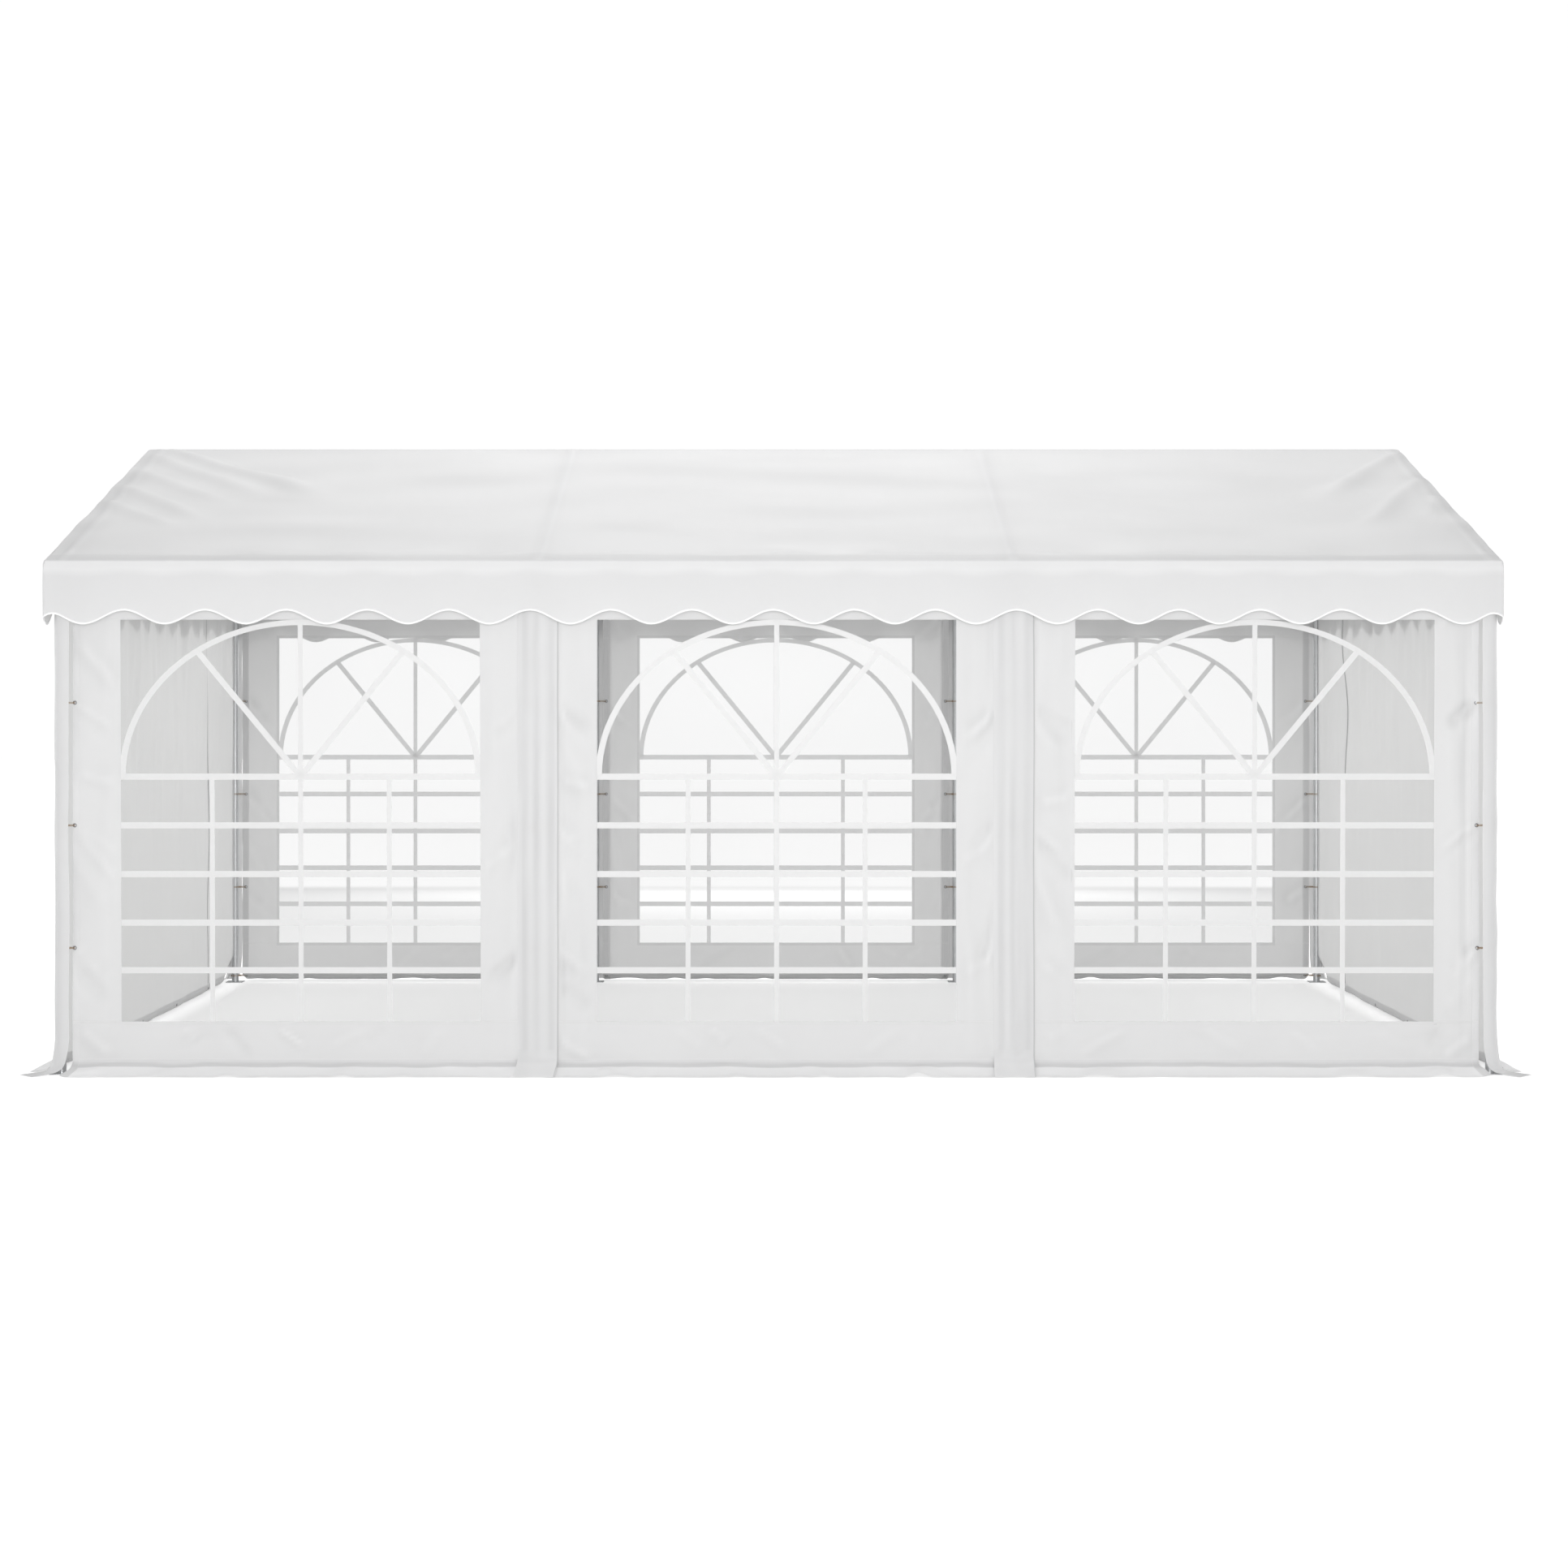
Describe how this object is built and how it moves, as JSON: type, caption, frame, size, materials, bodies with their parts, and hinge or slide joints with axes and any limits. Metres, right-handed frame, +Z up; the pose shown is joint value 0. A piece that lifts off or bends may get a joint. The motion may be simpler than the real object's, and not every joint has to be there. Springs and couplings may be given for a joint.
{
  "type": "party marquee tent with window walls",
  "caption": "Gabled party tent: steel tube frame, white cloth roof with a scalloped valance, walls with clear film windows and plain zipped end walls.",
  "frame": {"origin": "on the ground in the middle of the tent, halfway between the corner poles both ways", "axes": "+X along the ridge to the right as seen from the front, +Y from the front to the back, +Z up"},
  "size_m": [6.3306, 4.3306, 2.79],
  "materials": {
    "steel_tube": "galvanised tube, satin",
    "cover_sheet": "coated white woven sheet, slightly translucent",
    "window_film": "thin clear film with printed white bars"
  },
  "bodies": {
    "root": {"leg_front_1": "steel_tube", "leg_front_2": "steel_tube", "leg_front_3": "steel_tube", "leg_front_4": "steel_tube", "leg_back_1": "steel_tube", "leg_back_2": "steel_tube", "leg_back_3": "steel_tube", "leg_back_4": "steel_tube", "eave_rail_front": "steel_tube", "eave_rail_back": "steel_tube", "ridge_rail": "steel_tube", "rafter_front_1": "steel_tube", "rafter_front_2": "steel_tube", "rafter_front_3": "steel_tube", "rafter_front_4": "steel_tube", "rafter_back_1": "steel_tube", "rafter_back_2": "steel_tube", "rafter_back_3": "steel_tube", "rafter_back_4": "steel_tube", "gable_bar_left": "steel_tube", "gable_bar_right": "steel_tube", "roof_cover": "cover_sheet", "valance_front": "cover_sheet", "valance_back": "cover_sheet", "valance_left": "cover_sheet", "valance_right": "cover_sheet", "wall_front_left": "cover_sheet", "wall_front_middle": "cover_sheet", "wall_front_right": "cover_sheet", "wall_back_left": "cover_sheet", "wall_back_middle": "cover_sheet", "wall_back_right": "cover_sheet", "window_front_left": "window_film", "window_front_middle": "window_film", "window_front_right": "window_film", "window_back_left": "window_film", "window_back_middle": "window_film", "window_back_right": "window_film", "end_wall_left": "cover_sheet", "end_wall_right": "cover_sheet", "pole_cover_front_left": "cover_sheet", "pole_cover_front_right": "cover_sheet", "pole_cover_back_left": "cover_sheet", "pole_cover_back_right": "cover_sheet", "corner_flap_front_left": "cover_sheet", "corner_flap_front_right": "cover_sheet", "corner_flap_back_left": "cover_sheet", "corner_flap_back_right": "cover_sheet"}
  },
  "joints": []
}
